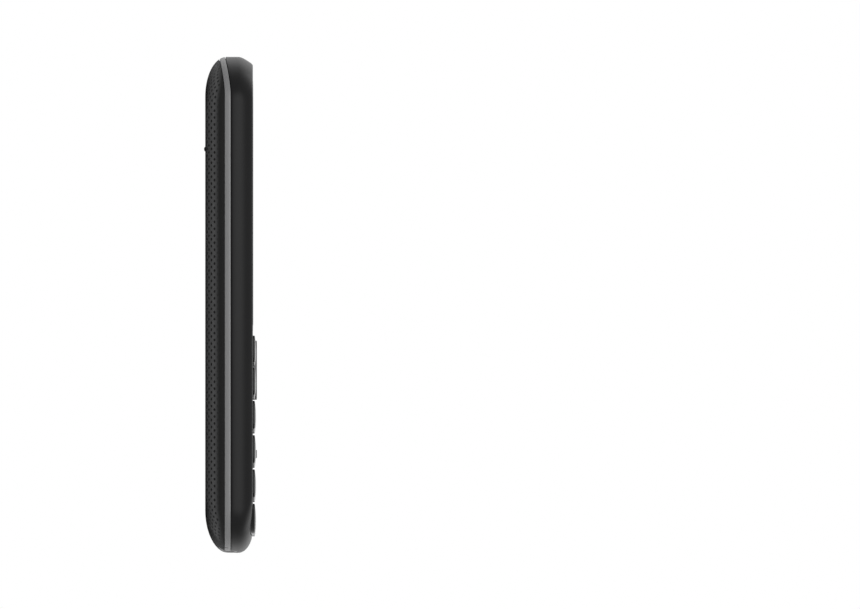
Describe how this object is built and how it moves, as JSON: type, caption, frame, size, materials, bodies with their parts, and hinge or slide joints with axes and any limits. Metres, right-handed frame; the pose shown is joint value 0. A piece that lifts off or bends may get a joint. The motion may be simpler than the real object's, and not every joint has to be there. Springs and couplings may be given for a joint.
{
  "type": "mobile phone",
  "caption": "Candy-bar mobile phone with large domed keys, a metal trim band, an end torch, a charging port and a headphone socket, and a lift-off dimpled back cover.",
  "frame": {"origin": "centre of the bounding box's bottom face, with the phone lying on its back", "axes": "+X to the phone's right seen from its front, +Y to the torch end, +Z out of the front"},
  "size_m": [0.056, 0.1352, 0.0144],
  "materials": {
    "satin_black_plastic": "satin moulded ABS",
    "textured_black_plastic": "matte, dimpled",
    "gunmetal_trim": "satin gunmetal",
    "gloss_black_lens": "gloss",
    "display_glass": "dark glass",
    "gloss_black_keys": "semi-gloss",
    "grey_ring": "satin grey",
    "nickel_steel": "nickel plated",
    "gold_plate": "gold plated",
    "board_green": "solder mask",
    "grey_silicone": "matte",
    "clear_film": "film",
    "frame_black": "matte",
    "battery_wrap": "wrapped cell",
    "connector_black": "matte",
    "white_plastic": "matte",
    "flex_film": "film",
    "lamp_lens": "clear",
    "lamp_phosphor": "matte",
    "mesh_black": "woven mesh"
  },
  "bodies": {
    "phone": {"antenna": "gold_plate", "audio_jack": "connector_black", "battery": "battery_wrap", "battery_connector": "connector_black", "display_flex": "flex_film", "display_lens": "gloss_black_lens", "display_module": "display_glass", "dome_sheet": "clear_film", "earpiece_mesh": "mesh_black", "earpiece_receiver": "nickel_steel", "front_housing": "satin_black_plastic", "jack_contact": "gold_plate", "key_mat": "grey_silicone", "loudspeaker": "connector_black", "main_board": "board_green", "mic_boot": "grey_silicone", "microphone": "nickel_steel", "rear_frame": "frame_black", "screw_1": "nickel_steel", "screw_2": "nickel_steel", "screw_3": "nickel_steel", "screw_4": "nickel_steel", "screw_5": "nickel_steel", "screw_6": "nickel_steel", "sd_socket": "nickel_steel", "shield_can_1": "nickel_steel", "shield_can_2": "nickel_steel", "sim_socket_1": "nickel_steel", "sim_socket_2": "nickel_steel", "torch_led": "lamp_phosphor", "torch_lens": "lamp_lens", "trim_band": "gunmetal_trim", "usb_shell": "nickel_steel", "usb_tongue": "white_plastic", "vibration_motor": "nickel_steel"},
    "cover": {"back_cover": "textured_black_plastic", "speaker_mesh": "mesh_black"},
    "softkey_left": {"softkey_left": "gloss_black_keys"},
    "softkey_right": {"softkey_right": "gloss_black_keys"},
    "call_key": {"call_key": "gloss_black_keys"},
    "end_key": {"end_key": "gloss_black_keys"},
    "key_1": {"key_1": "gloss_black_keys"},
    "key_2": {"key_2": "gloss_black_keys"},
    "key_3": {"key_3": "gloss_black_keys"},
    "key_4": {"key_4": "gloss_black_keys"},
    "key_5": {"key_5": "gloss_black_keys"},
    "key_6": {"key_6": "gloss_black_keys"},
    "key_7": {"key_7": "gloss_black_keys"},
    "key_8": {"key_8": "gloss_black_keys"},
    "key_9": {"key_9": "gloss_black_keys"},
    "key_star": {"key_star": "gloss_black_keys"},
    "key_0": {"key_0": "gloss_black_keys"},
    "key_hash": {"key_hash": "gloss_black_keys"},
    "ok_key": {"ok_key": "gloss_black_keys"},
    "nav_carrier": {"nav_carrier": "white_plastic"},
    "nav_ring": {"nav_ring": "grey_ring"},
    "motor_weight": {"motor_weight": "nickel_steel"}
  },
  "joints": [
    {"name": "cover_off", "type": "slide", "parent": "phone", "child": "cover", "axis": [0, 0, -1], "range_m": [0, 0.03]},
    {"name": "softkey_left_press", "type": "slide", "parent": "phone", "child": "softkey_left", "axis": [0, 0, -1], "range_m": [0, 0.00025], "stiffness_N_per_m": 4000},
    {"name": "softkey_right_press", "type": "slide", "parent": "phone", "child": "softkey_right", "axis": [0, 0, -1], "range_m": [0, 0.00025], "stiffness_N_per_m": 4000},
    {"name": "call_key_press", "type": "slide", "parent": "phone", "child": "call_key", "axis": [0, 0, -1], "range_m": [0, 0.00025], "stiffness_N_per_m": 4000},
    {"name": "end_key_press", "type": "slide", "parent": "phone", "child": "end_key", "axis": [0, 0, -1], "range_m": [0, 0.00025], "stiffness_N_per_m": 4000},
    {"name": "key_1_press", "type": "slide", "parent": "phone", "child": "key_1", "axis": [0, 0, -1], "range_m": [0, 0.00025], "stiffness_N_per_m": 4000},
    {"name": "key_2_press", "type": "slide", "parent": "phone", "child": "key_2", "axis": [0, 0, -1], "range_m": [0, 0.00025], "stiffness_N_per_m": 4000},
    {"name": "key_3_press", "type": "slide", "parent": "phone", "child": "key_3", "axis": [0, 0, -1], "range_m": [0, 0.00025], "stiffness_N_per_m": 4000},
    {"name": "key_4_press", "type": "slide", "parent": "phone", "child": "key_4", "axis": [0, 0, -1], "range_m": [0, 0.00025], "stiffness_N_per_m": 4000},
    {"name": "key_5_press", "type": "slide", "parent": "phone", "child": "key_5", "axis": [0, 0, -1], "range_m": [0, 0.00025], "stiffness_N_per_m": 4000},
    {"name": "key_6_press", "type": "slide", "parent": "phone", "child": "key_6", "axis": [0, 0, -1], "range_m": [0, 0.00025], "stiffness_N_per_m": 4000},
    {"name": "key_7_press", "type": "slide", "parent": "phone", "child": "key_7", "axis": [0, 0, -1], "range_m": [0, 0.00025], "stiffness_N_per_m": 4000},
    {"name": "key_8_press", "type": "slide", "parent": "phone", "child": "key_8", "axis": [0, 0, -1], "range_m": [0, 0.00025], "stiffness_N_per_m": 4000},
    {"name": "key_9_press", "type": "slide", "parent": "phone", "child": "key_9", "axis": [0, 0, -1], "range_m": [0, 0.00025], "stiffness_N_per_m": 4000},
    {"name": "key_star_press", "type": "slide", "parent": "phone", "child": "key_star", "axis": [0, 0, -1], "range_m": [0, 0.00025], "stiffness_N_per_m": 4000},
    {"name": "key_0_press", "type": "slide", "parent": "phone", "child": "key_0", "axis": [0, 0, -1], "range_m": [0, 0.00025], "stiffness_N_per_m": 4000},
    {"name": "key_hash_press", "type": "slide", "parent": "phone", "child": "key_hash", "axis": [0, 0, -1], "range_m": [0, 0.00025], "stiffness_N_per_m": 4000},
    {"name": "ok_key_press", "type": "slide", "parent": "phone", "child": "ok_key", "axis": [0, 0, -1], "range_m": [0, 0.00025], "stiffness_N_per_m": 4000},
    {"name": "nav_left_right", "type": "hinge", "parent": "phone", "child": "nav_carrier", "pos_m": [0, -0.0178, 0.01151], "axis": [0, 1, 0], "range_deg": [-1.2, 1.2], "stiffness_Nm_per_rad": 0.4},
    {"name": "nav_up_down", "type": "hinge", "parent": "nav_carrier", "child": "nav_ring", "pos_m": [0, -0.0178, 0.01151], "axis": [1, 0, 0], "range_deg": [-1.2, 1.2], "stiffness_Nm_per_rad": 0.4},
    {"name": "motor_spin", "type": "hinge", "parent": "phone", "child": "motor_weight", "pos_m": [0.0155, 0.0457, 0.00451], "axis": [0, 1, 0], "continuous": true}
  ]
}
